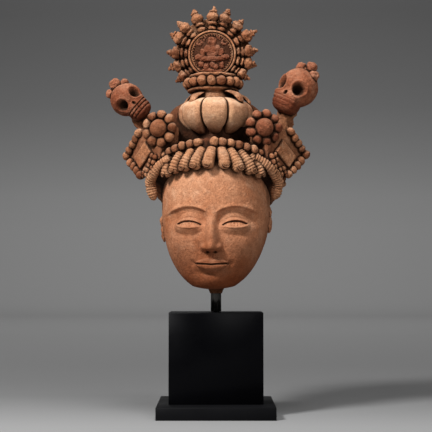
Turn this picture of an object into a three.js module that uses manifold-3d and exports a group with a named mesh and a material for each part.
// Terracotta bodhisattva head with a skull crown, held by a rod on a block and a base plate.
// Millimetres, +Z up. The origin is the middle of the base plate's underside, and the face looks
// along -Y. Left and right are the viewer's. Angles are in degrees.

import * as THREE from 'three';
import { mergeVertices } from 'three/addons/utils/BufferGeometryUtils.js';
import Module from 'manifold-3d';

// Driving dimensions: stand
const plateWidth = 158;
const plateDepth = 152;
const plateHeight = 17;
const blockWidth = 127;
const blockDepth = 80;
const blockHeight = 122.2;
const rodRadius = 7.25;
const rodShowing = 25;
const rodInHead = 30;
const rodSides = 16;
const touchGap = 0.3;

// Head. Its parts are laid out in fingers, twelve from the chin to the hairline.
const faceHeight = 157;
const headWidth = 148;
const headTurn = -4;
const crownLean = -4;
const chinAboveRodCollar = 6;
const rodCollarWall = 2.6;
const earStump = { high: 18, deep: 9, thick: 5 };
const facetedBeadGrowth = 1.12;

// Diadem: a ring of beads round the head, tilted up to the front
const diademRadius = 91;
const diademTilt = 31;
const strandBeadRadius = 5.3;
const strandBeads = 27;
const strandReach = 90;
const strandShift = 2;

// Hair
const curlRadius = 7.6;
const curlLength = 27;
const lockRadius = 6;
const moundHeight = 60;

// Lotus and the stand of the disc above it
const lotusRadius = 50;
const lotusHeight = 55;
const lotusLobes = 8;
const neckRadius = 30;
const neckHeight = 12;
const collarBeadRadius = 6.4;
const collarRadius = 35;
const collarBeads = 17;
const collarPlateHeight = 5;
const leaf = { root: 8, fullest: 10, tip: 1.5, drop: 8 };

// Disc and its rays
const discRadius = 33;
const discThickness = 15;
const rimWidth = 3;
const rimRise = 2.5;
const rayLength = 33;
const rayRadius = 8.4;
const raySteps = 17;
const raysShown = 13;
const rayTilt = -1;
const rayInDisc = 3;
const discInCollar = 4;

// Side crown pieces
const rosetteBossRadius = 11.6;
const rosetteBeadRadius = 6.3;
const rosetteBeads = 9;
const rosetteBeadGap = 2.2;
const rosetteFacing = 16;
const wingThickness = 32;
const wingFacing = 46;
const plaqueLength = 31;
const plaqueWidth = 20;
const plaqueRise = 4;
const plaqueSkirt = 2;
const plaqueSlope = -40;
const edgeBeadRadius = 5.4;
const stemRadius = 12.8;

// Skulls: radius of the brain case, lean from upright, turn of the face, and place of its middle
// in fingers. The lumps of its broken crest are side, height and size in shares of the radius.
const leftSkull = {
  radius: 23.5,
  lean: -50,
  turn: 6,
  across: -9.32,
  back: -0.92,
  up: 19.95,
  crest: [[0.23, 1.13, 0.36], [0.6, 0.82, 0.27], [-0.37, 0.98, 0.27]],
};
const rightSkull = {
  radius: 27,
  lean: 28,
  turn: -26,
  across: 8.64,
  back: -0.92,
  up: 21.02,
  crest: [[-0.34, 0.98, 0.3], [0.17, 1.24, 0.28], [0.5, 0.86, 0.28]],
};

// Worked out from the sizes above
const finger = faceHeight / 12;
const blockFoot = plateHeight + touchGap;
const blockTop = blockFoot + blockHeight;
const rodFoot = blockTop + touchGap;
const rodCollarFoot = rodFoot + rodShowing;
const chin = rodCollarFoot + chinAboveRodCollar;
const headHeight = 15.4 * finger;
const headTop = chin + headHeight;
const halfHead = headWidth / 2;
const diademCentre = chin + 11.25 * finger;
const lotusFoot = headTop + 0.5 * finger;
const lotusBack = -1 * finger;
const lotusTop = lotusFoot + lotusHeight;
const collarMiddle = lotusTop + neckHeight + collarBeadRadius;
const collarTop = collarMiddle + collarBeadRadius + collarPlateHeight;
const discBack = lotusBack - 2;
const wingOut = halfHead + 1.65 * finger;
const wingAhead = -2.7 * finger;
const wingMiddle = chin + 13.9 * finger;
const discMiddle = collarTop + discRadius - discInCollar;

const radians = THREE.MathUtils.degToRad;
const smooth = (low, high, value) => THREE.MathUtils.smoothstep(value, low, high);
const at = (x, y, z) => new THREE.Vector3(x, y, z);

// Solids
const wasm = await Module();
wasm.setup();

function solid(geometry) {
  const bare = geometry.clone();
  bare.deleteAttribute('normal');
  bare.deleteAttribute('uv');
  const merged = mergeVertices(bare, 1e-4);
  const corners = merged.index.array;
  const kept = [];
  for (let i = 0; i < corners.length; i += 3) {
    const [a, b, c] = corners.slice(i, i + 3);
    if (a !== b && b !== c && c !== a) kept.push(a, b, c);
  }
  const made = (triangles) => new wasm.Manifold(new wasm.Mesh({
    numProp: 3,
    vertProperties: Float32Array.from(merged.attributes.position.array),
    triVerts: Uint32Array.from(triangles),
  }));
  const closed = made(kept);
  return closed.volume() > 0 ? closed : made(kept.reverse());
}

function join(pieces) {
  return pieces.reduce((whole, piece) => whole.add(piece));
}

// A closed skin: place(share, rise) gives the point at a share of the half turn round the upright
// axis, with 0 at the front, 0.5 at the right and -0.5 at the left, and at a rise from 0 at the
// lowest point to 1 at the top.
function skin(columns, rows, place) {
  const geometry = new THREE.SphereGeometry(1, columns, rows);
  const spots = geometry.attributes.position;
  for (let row = 0; row <= rows; row += 1) {
    for (let column = 0; column <= columns; column += 1) {
      const share = (column % columns) / columns * 2 - 1;
      const spot = place(share, 1 - row / rows);
      spots.setXYZ(row * (columns + 1) + column, spot.x, spot.y, spot.z);
    }
  }
  return solid(geometry);
}

// A turned shape along a line: radii holds [share of the line, radius] pairs between its two points.
function turned(from, to, radii, sides) {
  const way = to.clone().sub(from);
  const length = way.length();
  const profile = [new THREE.Vector2(0, radii[0][0] * length)];
  radii.forEach(([share, radius]) => profile.push(new THREE.Vector2(radius, share * length)));
  profile.push(new THREE.Vector2(0, radii[radii.length - 1][0] * length));
  const geometry = new THREE.LatheGeometry(profile, sides);
  const turn = new THREE.Quaternion().setFromUnitVectors(at(0, 1, 0), way.normalize());
  geometry.applyQuaternion(turn);
  geometry.translate(from.x, from.y, from.z);
  return solid(geometry);
}

// A round-ended roll between two points, slimmer at its root
function roll(from, to, radius, sides) {
  return turned(from, to, [
    [0, radius * 0.55],
    [0.4, radius * 0.82],
    [0.8, radius],
    [1, radius * 0.6],
  ], sides);
}

// A bead. Its few facets stand a little outside the true ball, so it keeps its girth.
function bead(centre, radius) {
  const geometry = new THREE.IcosahedronGeometry(radius * facetedBeadGrowth, 0);
  geometry.translate(centre.x, centre.y, centre.z);
  return solid(geometry);
}

// A ball stretched along X, Y and Z, with squarer shoulders as the power grows
function pillow(centre, halfX, halfY, halfZ, power, columns, rows) {
  return skin(columns, rows, (share, rise) => {
    const turn = Math.PI * share;
    const lift = Math.PI * (rise - 0.5);
    const squared = (value) => Math.sign(value) * Math.abs(value) ** (2 / power);
    const ring = squared(Math.cos(lift));
    return at(
      centre.x + halfX * ring * squared(Math.sin(turn)),
      centre.y - halfY * ring * squared(Math.cos(turn)),
      centre.z + halfZ * squared(Math.sin(lift)),
    );
  });
}

// Head form, as shares of its height: half width, front and back at a rise from 0 at the chin
function headSection(rise) {
  const widest = 0.6;
  const fullest = 0.68;
  const chinBack = -3.05 * finger;
  const front = -6.45 * finger;
  const back = 6.55 * finger;
  const below = Math.max(0, 1 - rise / widest);
  const above = Math.max(0, (rise - widest) / (1 - widest));
  const half = halfHead * Math.sqrt(Math.max(0, 1 - below ** 2.2)) * Math.sqrt(Math.max(0, 1 - above ** 2.4));
  const low = Math.max(0, 1 - rise / fullest);
  const high = Math.max(0, (rise - fullest) / (1 - fullest));
  const closing = Math.sqrt(Math.max(0, 1 - high ** 2.2));
  const nape = Math.max(0, 1 - rise / widest) ** 1.8;
  const frontFace = chinBack + (front - chinBack) * (1 - low ** 5) ** 0.4;
  const backFace = chinBack + (back - chinBack) * (1 - nape) ** 0.8;
  return { half, front: frontFace * closing, back: backFace * closing };
}

// Face carving in fingers: height over the plain form at a place across and up from the chin
function faceRelief(across, up) {
  const side = Math.abs(across);
  const hill = (x, z, wide, high) => Math.exp(-(((side - x) / wide) ** 2) - ((up - z) / high) ** 2);
  const noseRun = smooth(4.05, 4.5, up) * (1 - smooth(7, 8.3, up));
  const noseRise = 1.45 - 0.3 * (up - 4.4);
  const noseWide = 0.75 - 0.09 * (up - 4.4);
  const nose = noseRun * noseRise * Math.exp(-((side / noseWide) ** 2));
  const nostril = 0.55 * hill(0.8, 4.5, 0.42, 0.4);
  const browLine = 8.05 + 0.75 * Math.sin(Math.PI * Math.min(1, side / 4.6));
  const brow = 0.35 * Math.exp(-(((up - browLine) / 0.4) ** 2)) * (1 - smooth(3.6, 5, side));
  const socket = -0.5 * hill(2.3, 7.1, 1.5, 0.75);
  const eye = 0.62 * hill(2.3, 6.85, 1.05, 0.5);
  const cheek = 0.4 * hill(2.9, 4.5, 1.7, 1.7);
  const upperLip = 0.5 * hill(0, 3.2, 1.6, 0.3);
  const lowerLip = 0.55 * hill(0, 2.5, 1.25, 0.32);
  const mouthLine = -0.25 * hill(0, 2.87, 1.8, 0.16);
  const chinRound = 0.55 * hill(0, 1.05, 1.3, 0.85);
  return nose + nostril + brow + socket + eye + cheek + upperLip + lowerLip + mouthLine + chinRound;
}

function headForm() {
  const chinFlat = 0.02;
  return skin(26, 24, (share, level) => {
    const turn = Math.PI * (0.4 * share + 0.6 * share ** 3);
    const rise = level + 0.065 * (Math.sin(2 * Math.PI * (level - 0.9)) - Math.sin(0.2 * Math.PI));
    const section = headSection(rise);
    const middle = (section.front + section.back) / 2;
    const depth = (section.back - section.front) / 2;
    const squared = (value) => Math.sign(value) * Math.abs(value) ** 0.92;
    const x = section.half * squared(Math.sin(turn));
    const y = middle - depth * squared(Math.cos(turn));
    const facing = smooth(0.1, 0.6, Math.cos(turn)) * smooth(0, 0.04, rise);
    const out = faceRelief(x / finger, rise * headHeight / finger) * finger * facing;
    const up = Math.max(rise / 2, rise - chinFlat);
    return at(x + out * Math.sin(turn), y - out * Math.cos(turn), chin + up * headHeight);
  });
}

// The neck is broken off short under the jaw, round a small clay collar for the rod.
function neckStub() {
  const neckBreak = chin + 0.75 * finger;
  const neckInside = chin + 5 * finger;
  const jawBack = 0.8 * finger;
  const neck = turned(at(0, jawBack, neckBreak), at(0, jawBack, neckInside), [
    [0, 2.35 * finger],
    [0.5, 2.6 * finger],
    [1, 3.3 * finger],
  ], 12);
  const collar = turned(at(0, 0, rodCollarFoot), at(0, 0, neckInside), [
    [0, rodRadius + touchGap + rodCollarWall],
    [0.2, rodRadius + touchGap + 2 * rodCollarWall],
    [1, rodRadius + touchGap + 4 * rodCollarWall],
  ], rodSides);
  return neck.add(collar);
}

// Broken ears: low rough stumps at the temples, the right one a little higher
function earStumps() {
  return [-1, 1].map((side) => {
    const up = chin + (side < 0 ? 6.4 : 7.3) * finger;
    const centre = at(side * (halfHead - 1), 0.6 * finger, up);
    return pillow(centre, earStump.thick, earStump.deep, earStump.high, 2.6, 6, 4);
  });
}

// A place on the diadem's tilted ring: turn from the front in degrees, and height over the ring
function diademPoint(turn, radius, over = 0) {
  const tilt = radians(diademTilt);
  const ahead = radius * Math.cos(radians(turn));
  return at(
    radius * Math.sin(radians(turn)),
    -ahead * Math.cos(tilt) + over * Math.sin(tilt),
    diademCentre + ahead * Math.sin(tilt) + over * Math.cos(tilt),
  );
}

// Hair under the diadem: a flat cap on the tilted ring
function hairCap() {
  const capHeight = 2.5 * finger;
  const capDrop = 1.9 * finger;
  const columns = 18;
  const capRadius = (diademRadius - strandBeadRadius / 2) / Math.cos(Math.PI / columns);
  return skin(columns, 6, (share, rise) => {
    const lift = Math.PI * (rise - 0.5);
    const ring = Math.abs(Math.cos(lift)) ** (lift > 0 ? 0.8 : 0.5);
    const over = (lift > 0 ? capHeight : capDrop) * Math.sin(lift);
    return diademPoint(180 * share, capRadius * ring, over);
  });
}

// Hair gathered behind the crown
function hairMound() {
  const middle = headTop + 0.2 * finger;
  return pillow(at(crownLean / 2, 1.9 * finger, middle), halfHead - 3, 4 * finger, moundHeight, 3.2, 12, 7);
}

function hairCurls() {
  const rootTurns = [-27, -16, -8, 0.5, 8, 14, 23];
  const endTurns = [-39, -28, -16.5, -4, 13, 27, 41];
  return rootTurns.map((rootTurn, index) => {
    const root = diademPoint(rootTurn, diademRadius - 6, -6);
    const end = diademPoint(endTurns[index], diademRadius - 10, -7 - curlLength);
    return roll(root, end, curlRadius, 6);
  });
}

// Long locks that fall from the temples
function sideLocks() {
  const section = new THREE.Shape();
  const sides = 6;
  for (let side = 0; side < sides; side += 1) {
    const angle = 2 * Math.PI * side / sides;
    const corner = [lockRadius * Math.cos(angle), lockRadius * Math.sin(angle)];
    if (side === 0) section.moveTo(...corner);
    else section.lineTo(...corner);
  }
  return [-1, 1].flatMap((side) => {
    const path = new THREE.CatmullRomCurve3([
      diademPoint(side * 35, diademRadius - 1, -8),
      diademPoint(side * 52, diademRadius - 1, -13),
      diademPoint(side * 69, diademRadius - 2, -19),
      at(side * (halfHead + 9), -2.6 * finger, chin + 9.3 * finger),
    ]);
    const lock = new THREE.ExtrudeGeometry(section, { extrudePath: path, steps: 7, bevelEnabled: false });
    return [solid(lock), bead(path.getPoint(1), lockRadius)];
  });
}

// Beads of the diadem. One to the left of the middle is lost.
function diademStrand() {
  const lost = [12];
  const beads = [];
  for (let index = 0; index < strandBeads; index += 1) {
    if (lost.includes(index)) continue;
    const share = 2 * index / (strandBeads - 1) - 1;
    const size = strandBeadRadius * (1 - 0.15 * Math.abs(share));
    beads.push(bead(diademPoint(strandReach * share + strandShift, diademRadius), size));
  }
  return beads;
}

// Lotus bud of full round lobes over the brow: flat under the lobes, widest above the middle
function lotus() {
  const lean = crownLean / 2;
  const rows = 6;
  const facetsPerLobe = 4;
  const widest = 0.6;
  const bud = skin(lotusLobes * facetsPerLobe, rows, (share, rise) => {
    const turn = Math.PI * share;
    const up = Math.max(0, (rise * rows - 1) / (rows - 1));
    const low = Math.max(0, 1 - up / widest);
    const high = Math.max(0, (up - widest) / (1 - widest));
    const full = up < widest ? 0.36 + 0.64 * (1 - low ** 2.2) ** 0.7 : (1 - high ** 2.6) ** 0.5;
    const crease = Math.abs(Math.cos(turn * lotusLobes / 2)) ** 0.4;
    const radius = rise > 0 ? lotusRadius * full * (0.82 + 0.18 * crease) : 0;
    const level = lotusFoot + lotusHeight * up;
    return at(lean + radius * Math.sin(turn), lotusBack - radius * Math.cos(turn), level);
  });
  const foot = turned(at(lean, lotusBack, headTop - 2 * finger), at(lean, lotusBack, lotusTop), [
    [0, neckRadius - 6],
    [1, neckRadius - 2],
  ], 8);
  return bud.add(foot);
}

// Small leaves over the lotus lobes. The middle one at the front is lost.
function lotusLeaves() {
  const leaves = [];
  for (let index = 1; index < lotusLobes; index += 1) {
    const turn = 2 * Math.PI * index / lotusLobes;
    const out = at(Math.sin(turn), -Math.cos(turn), 0);
    const root = at(crownLean / 2, lotusBack, lotusTop + 1).addScaledVector(out, neckRadius - 6);
    const tip = at(crownLean / 2, lotusBack, root.z - leaf.drop).addScaledVector(out, lotusRadius * 0.82);
    leaves.push(turned(root, tip, [[0, leaf.root], [0.4, leaf.fullest], [1, leaf.tip]], 4));
  }
  return leaves;
}

// Round stand of the disc: waist, flange, ring of beads and top plate
function discStand() {
  const axis = crownLean * 0.75;
  const foot = lotusTop - 0.22 * lotusHeight;
  const height = collarTop - foot;
  const share = (level) => (level - foot) / height;
  const body = turned(at(axis, lotusBack, foot), at(axis, lotusBack, collarTop), [
    [0, neckRadius],
    [share(lotusTop + neckHeight * 0.5), neckRadius],
    [share(lotusTop + neckHeight * 0.6), neckRadius + 4],
    [share(collarMiddle), collarRadius - 1],
    [share(collarTop - collarPlateHeight + 1), neckRadius + 2],
    [1, neckRadius + 2],
  ], 14);
  const pieces = [body];
  for (let index = 0; index < collarBeads; index += 1) {
    const turn = 2 * Math.PI * index / collarBeads;
    const across = collarRadius * Math.sin(turn);
    const ahead = collarRadius * Math.cos(turn);
    pieces.push(bead(at(axis + across, lotusBack - ahead, collarMiddle), collarBeadRadius));
  }
  return join(pieces);
}

// Disc with a raised rim and a worn seated figure on its field, and a wider plate behind the rays
function disc() {
  const centre = (back) => at(crownLean, back, discMiddle);
  const front = discBack - discThickness / 2;
  const plateFront = discBack + rayRadius + 0.4;
  const back = plateFront + discThickness / 3;
  const body = turned(centre(back - 1), centre(front), [[0, discRadius], [1, discRadius]], 20);
  const field = turned(centre(front + rimRise), centre(front - rimRise), [
    [0, discRadius - rimWidth],
    [1, discRadius - rimWidth],
  ], 20);
  const plate = turned(centre(back), centre(plateFront), [
    [0, discRadius + rayLength * 0.35],
    [1, discRadius + rayLength * 0.42],
  ], 20);
  const onField = (up, halfX, halfZ) => pillow(
    at(crownLean, front + rimRise, discMiddle + up * discRadius),
    halfX * discRadius,
    rimRise,
    halfZ * discRadius,
    2.2,
    6,
    4,
  );
  const brow = onField(0.56, 0.15, 0.17);
  const torso = onField(0.16, 0.27, 0.29);
  const knees = onField(-0.15, 0.56, 0.13);
  const seat = onField(-0.48, 0.46, 0.18);
  return join([body.subtract(field), plate, brow, torso, knees, seat]);
}

// Rays round the disc: a knob and ring at the foot, then a pointed bud
function discRays() {
  const rays = [];
  for (let index = 0; index < raysShown; index += 1) {
    const turn = 2 * Math.PI * (index - (raysShown - 1) / 2) / raySteps + radians(rayTilt);
    const out = at(Math.sin(turn), 0, Math.cos(turn));
    const from = at(crownLean, discBack, discMiddle).addScaledVector(out, discRadius - rayInDisc);
    const to = from.clone().addScaledVector(out, rayLength + rayInDisc);
    rays.push(turned(from, to, [
      [0, rayRadius * 0.65],
      [0.25, rayRadius * 0.6],
      [0.45, rayRadius],
      [0.7, rayRadius * 0.85],
      [1, 0.6],
    ], 5));
  }
  return rays;
}

// A place on a side wing's front face: out along the face, up, and proud of it
function wingPoint(side, along, up, proud = 0) {
  const facing = radians(wingFacing);
  return at(
    side * (wingOut + along * Math.cos(facing) + proud * Math.sin(facing)),
    wingAhead + along * Math.sin(facing) - proud * Math.cos(facing),
    wingMiddle + up,
  );
}

// Side wings of the crown, with a plaque and rows of beads along their edges
function sideWings() {
  const outline = [[-2.9, 2.9], [0.76, 2.45], [2.9, 0.46], [2.6, -0.3], [0.6, -2], [-2.6, -0.76]];
  return [-1, 1].flatMap((side) => {
    const corners = outline.map(([along, up]) => new THREE.Vector2(along * finger, up * finger));
    const shape = new THREE.Shape(corners);
    const slab = new THREE.ExtrudeGeometry(shape, { depth: wingThickness, bevelEnabled: false });
    const spots = slab.attributes.position;
    for (let index = 0; index < spots.count; index += 1) {
      const spot = wingPoint(side, spots.getX(index), spots.getY(index), -spots.getZ(index));
      spots.setXYZ(index, spot.x, spot.y, spot.z);
    }
    const pieces = [solid(slab), plaque(side)];
    const row = (count, from, to) => {
      for (let index = 0; index < count; index += 1) {
        const share = index / (count - 1);
        const along = THREE.MathUtils.lerp(from[0], to[0], share) * finger;
        const up = THREE.MathUtils.lerp(from[1], to[1], share) * finger;
        pieces.push(bead(wingPoint(side, along, up, 1), edgeBeadRadius));
      }
    };
    row(5, [0.76, 2.37], [2.9, 0.15]);
    row(4, [2.22, -0.61], [0.46, -2.06]);
    return pieces;
  });
}

// Raised plaque with sloping edges, set aslant on the wing
function plaque(side) {
  const slope = radians(plaqueSlope);
  const ring = (grow, proud) => [[-1, -1], [1, -1], [1, 1], [-1, 1]].map(([x, z]) => {
    const along = x * (plaqueLength / 2 + grow);
    const across = z * (plaqueWidth / 2 + grow);
    return wingPoint(
      side,
      along * Math.cos(slope) - across * Math.sin(slope),
      along * Math.sin(slope) + across * Math.cos(slope),
      proud,
    );
  });
  const rings = [ring(plaqueSkirt, -plaqueRise), ring(plaqueSkirt, 0), ring(0, plaqueRise)];
  const base = new THREE.BoxGeometry(1, 1, 1, 1, 1, 2);
  const spots = base.attributes.position;
  for (let index = 0; index < spots.count; index += 1) {
    const level = Math.round(spots.getZ(index) * 2) + 1;
    const right = spots.getX(index) > 0;
    const high = spots.getY(index) > 0;
    const corner = high ? (right ? 2 : 3) : (right ? 1 : 0);
    const spot = rings[level][corner];
    spots.setXYZ(index, spot.x, spot.y, spot.z);
  }
  return solid(base);
}

// Rosettes at the front corners of the wings: a boss in a ring of beads
function rosettes() {
  const ringRadius = rosetteBossRadius + rosetteBeadRadius + rosetteBeadGap;
  const facing = radians(rosetteFacing);
  return [-1, 1].flatMap((side) => {
    const centre = at(side * (halfHead - 4) + crownLean / 2, -4.3 * finger, chin + 16.45 * finger);
    const across = at(Math.cos(facing), side * Math.sin(facing), 0);
    const ahead = at(side * Math.sin(facing), -Math.cos(facing), 0);
    const back = centre.clone().addScaledVector(ahead, -2.3 * finger);
    const pieces = [
      turned(back, centre, [[0, ringRadius * 0.7], [0.8, ringRadius], [1, ringRadius * 0.9]], 9),
      pillow(centre.clone().addScaledVector(ahead, 2), ...Array(3).fill(rosetteBossRadius), 2, 8, 5),
    ];
    for (let index = 0; index < rosetteBeads; index += 1) {
      const turn = 2 * Math.PI * index / rosetteBeads;
      const spot = centre.clone().addScaledVector(across, ringRadius * Math.cos(turn));
      spot.z += ringRadius * Math.sin(turn);
      pieces.push(bead(spot, rosetteBeadRadius));
    }
    return pieces;
  });
}

// A skull of the crown, in its own frame: radius 1, face along -Y, top along +Z
function skull(sizes) {
  const place = (piece) => piece
    .scale([sizes.radius, sizes.radius, sizes.radius])
    .rotate([0, 0, sizes.turn])
    .rotate([0, sizes.lean, 0])
    .translate([sizes.across * finger, sizes.back * finger, chin + sizes.up * finger]);
  const brainCase = pillow(at(0, 0.08, 0.05), 0.97, 1.02, 0.98, 2, 10, 6);
  const jaw = pillow(at(0, -0.3, -0.85), 0.7, 0.62, 0.66, 2.8, 8, 4);
  const socket = (side) => turned(at(side * 0.56, -1.3, -0.26), at(side * 0.44, -0.5, -0.2), [
    [0, 0.38],
    [1, 0.24],
  ], 6);
  const nose = turned(at(0, -1.3, -0.66), at(0, -0.7, -0.58), [[0, 0.15], [1, 0.08]], 4);
  const crest = sizes.crest.map(([side, up, size]) => bead(at(side, 0, up), size));
  const cut = join([brainCase, jaw, ...crest])
    .subtract(socket(-1))
    .subtract(socket(1))
    .subtract(nose);
  return place(cut);
}

// Stems that carry the skulls up from the wings
function skullStems() {
  return [leftSkull, rightSkull].map((sizes) => {
    const side = Math.sign(sizes.across);
    const lean = radians(sizes.lean);
    const foot = at(side * (halfHead + 0.9 * finger), -0.3 * finger, chin + 15.8 * finger);
    const head = at(
      sizes.across * finger - Math.sin(lean) * sizes.radius * 0.7,
      (sizes.back + 0.3) * finger,
      chin + sizes.up * finger - Math.cos(lean) * sizes.radius * 0.7,
    );
    return turned(foot, head, [[0, stemRadius * 1.35], [0.5, stemRadius * 0.95], [1, stemRadius]], 6);
  });
}

function terracotta() {
  const pieces = [
    headForm(),
    neckStub(),
    ...earStumps(),
    hairCap(),
    hairMound(),
    ...hairCurls(),
    ...sideLocks(),
    ...diademStrand(),
    lotus(),
    ...lotusLeaves(),
    discStand(),
    disc(),
    ...discRays(),
    ...sideWings(),
    ...rosettes(),
    ...skullStems(),
    skull(leftSkull),
    skull(rightSkull),
  ];
  const socket = turned(at(0, 0, rodCollarFoot - 1), at(0, 0, rodCollarFoot + rodInHead + touchGap), [
    [0, rodRadius + touchGap],
    [1, rodRadius + touchGap],
  ], rodSides);
  return join(pieces).rotate([0, 0, headTurn]).subtract(socket);
}

// Meshes
function mesh(name, geometry, colour, roughness, metalness) {
  const material = new THREE.MeshStandardMaterial({ color: colour, roughness, metalness });
  const made = new THREE.Mesh(geometry, material);
  made.name = name;
  return made;
}

function geometryOf(manifold) {
  const skinMesh = manifold.getMesh();
  const geometry = new THREE.BufferGeometry();
  geometry.setAttribute('position', new THREE.BufferAttribute(Float32Array.from(skinMesh.vertProperties), 3));
  geometry.setIndex(new THREE.BufferAttribute(Uint32Array.from(skinMesh.triVerts), 1));
  geometry.computeVertexNormals();
  return geometry;
}

const head = mesh('terracotta_head', geometryOf(terracotta()), 0xb5754c, 0.9, 0);

const rodGeometry = new THREE.CylinderGeometry(rodRadius, rodRadius, rodShowing + rodInHead, rodSides);
const rod = mesh('mount_rod', rodGeometry, 0x141414, 0.25, 0.9);
rod.rotation.x = Math.PI / 2;
rod.position.z = rodFoot + (rodShowing + rodInHead) / 2;

const blockGeometry = new THREE.BoxGeometry(blockWidth, blockDepth, blockHeight);
const block = mesh('plinth_block', blockGeometry, 0x0c0c0c, 0.35, 0);
block.position.z = blockFoot + blockHeight / 2;

const plateGeometry = new THREE.BoxGeometry(plateWidth, plateDepth, plateHeight);
const plate = mesh('base_plate', plateGeometry, 0x0c0c0c, 0.35, 0);
plate.position.z = plateHeight / 2;

const sculpture = new THREE.Group();
sculpture.add(head, rod, block, plate);

export default sculpture;
